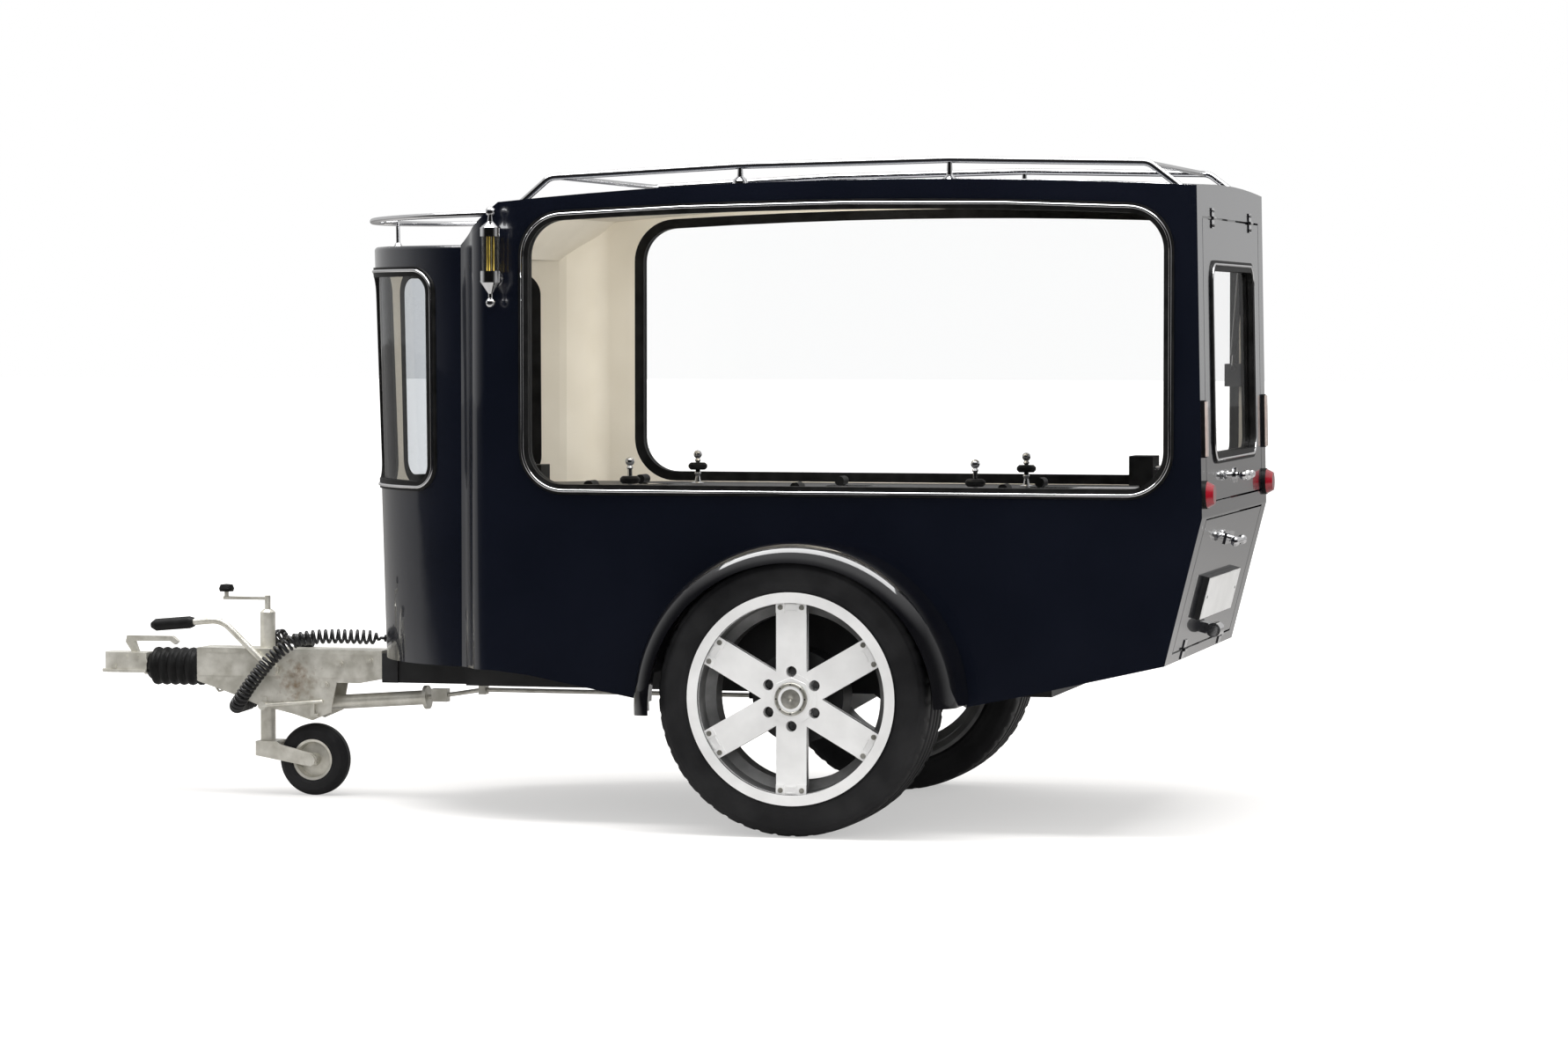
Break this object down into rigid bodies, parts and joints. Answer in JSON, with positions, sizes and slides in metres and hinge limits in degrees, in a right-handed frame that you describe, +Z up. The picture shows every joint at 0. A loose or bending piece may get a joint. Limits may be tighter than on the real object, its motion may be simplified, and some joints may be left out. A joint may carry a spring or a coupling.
{
  "type": "hearse trailer",
  "caption": "Small towed hearse trailer: round glazed nose, glass-sided body with rear doors, roof rails, two wheels under guards, braked drawbar with jockey wheel and coiled cable.",
  "frame": {"origin": "centre of the bounding box at ground level", "axes": "+X to the tail, +Y to the right hand side when facing the nose, +Z up"},
  "size_m": [3.256, 1.49, 1.7419],
  "materials": {
    "body_paint": "gloss",
    "frame_black": "satin",
    "galvanised": "satin",
    "alloy": "satin",
    "tyre_rubber": "matt",
    "seal_rubber": "matt",
    "cord_black": "satin",
    "window": "clear",
    "chrome_trim": "polished",
    "black_trim": "satin",
    "red_lens": "gloss",
    "plate_white": "satin",
    "lining_beige": "matt",
    "deck_grey": "satin"
  },
  "bodies": {
    "frame": {"chassis_frame": "frame_black", "axle": "frame_black", "mudguards": "body_paint", "side_wall_left": "body_paint", "side_wall_right": "body_paint", "nose_shell": "body_paint", "front_shoulders": "body_paint", "main_roof": "body_paint", "rear_frame": "body_paint", "floor_pan": "frame_black", "deck": "deck_grey", "lining": "lining_beige", "ceiling_lamps": "lining_beige", "side_glass": "window", "nose_glass": "window", "window_seals": "seal_rubber", "roof_rails": "chrome_trim", "carriage_lamps": "chrome_trim", "lamp_glasses": "window", "rear_lamp_bases": "black_trim", "rear_lenses": "red_lens", "frame_hinges": "chrome_trim", "strut_bracket": "black_trim", "drawbar": "galvanised", "coupling_head": "galvanised", "bellows": "seal_rubber", "brake_lever": "galvanised", "hand_grips": "seal_rubber", "brake_gear": "galvanised", "jockey_outer": "galvanised", "jockey_clamp": "galvanised", "deck_fittings": "chrome_trim", "bier_pads": "seal_rubber", "cord_coil": "cord_black", "cord_gland": "seal_rubber", "plug": "cord_black"},
    "wheel_left": {"rim_left": "alloy", "tyre_left": "tyre_rubber", "hub_left": "frame_black"},
    "wheel_right": {"rim_right": "alloy", "tyre_right": "tyre_rubber", "hub_right": "frame_black"},
    "upper_door": {"upper_door": "body_paint", "door_glass": "window", "door_seal": "seal_rubber", "upper_door_fittings": "chrome_trim"},
    "lower_door": {"lower_door": "body_paint", "lower_door_fittings": "chrome_trim", "plate_holder": "black_trim", "number_plate": "plate_white"},
    "strut_tube": {"strut_tube": "black_trim"},
    "strut_rod": {"strut_rod": "chrome_trim"},
    "jockey_inner": {"jockey_inner": "galvanised"},
    "jockey_fork": {"jockey_fork": "galvanised"},
    "jockey_wheel": {"jockey_rim": "galvanised", "jockey_tyre": "tyre_rubber"}
  },
  "joints": [
    {"name": "wheel_left_spin", "type": "hinge", "parent": "frame", "child": "wheel_left", "pos_m": [0.555, -0.612, 0.356], "axis": [0, 1, 0], "continuous": true},
    {"name": "wheel_right_spin", "type": "hinge", "parent": "frame", "child": "wheel_right", "pos_m": [0.555, 0.612, 0.356], "axis": [0, 1, 0], "continuous": true},
    {"name": "upper_door_hinge", "type": "hinge", "parent": "frame", "child": "upper_door", "pos_m": [1.57309, 0, 1.58259], "axis": [0, -1, 0], "range_deg": [0, 85]},
    {"name": "lower_door_hinge", "type": "hinge", "parent": "frame", "child": "lower_door", "pos_m": [1.50029, 0, 0.4704], "axis": [0, 1, 0], "range_deg": [0, 90]},
    {"name": "strut_tube_hinge", "type": "hinge", "parent": "upper_door", "child": "strut_tube", "pos_m": [1.5305, 0.438, 1.49], "axis": [0, 1, 0], "range_deg": [0, 106]},
    {"name": "strut_rod_slide", "type": "slide", "parent": "strut_tube", "child": "strut_rod", "axis": [-0.0781, 0, -0.9969], "range_m": [0, 0.08]},
    {"name": "jockey_slide", "type": "slide", "parent": "frame", "child": "jockey_inner", "axis": [0, 0, -1], "range_m": [0, 0.2]},
    {"name": "jockey_swivel", "type": "hinge", "parent": "jockey_inner", "child": "jockey_fork", "pos_m": [-1.135, 0, 0.15], "axis": [0, 0, 1], "continuous": true},
    {"name": "jockey_wheel_spin", "type": "hinge", "parent": "jockey_fork", "child": "jockey_wheel", "pos_m": [-0.995, 0, 0.1], "axis": [0, 1, 0], "continuous": true}
  ],
  "couplings": [
    {"joint": "strut_tube_hinge", "follows": "upper_door_hinge", "ratio": 1.2334},
    {"joint": "strut_rod_slide", "follows": "upper_door_hinge", "m_per_rad": 0.050212}
  ]
}
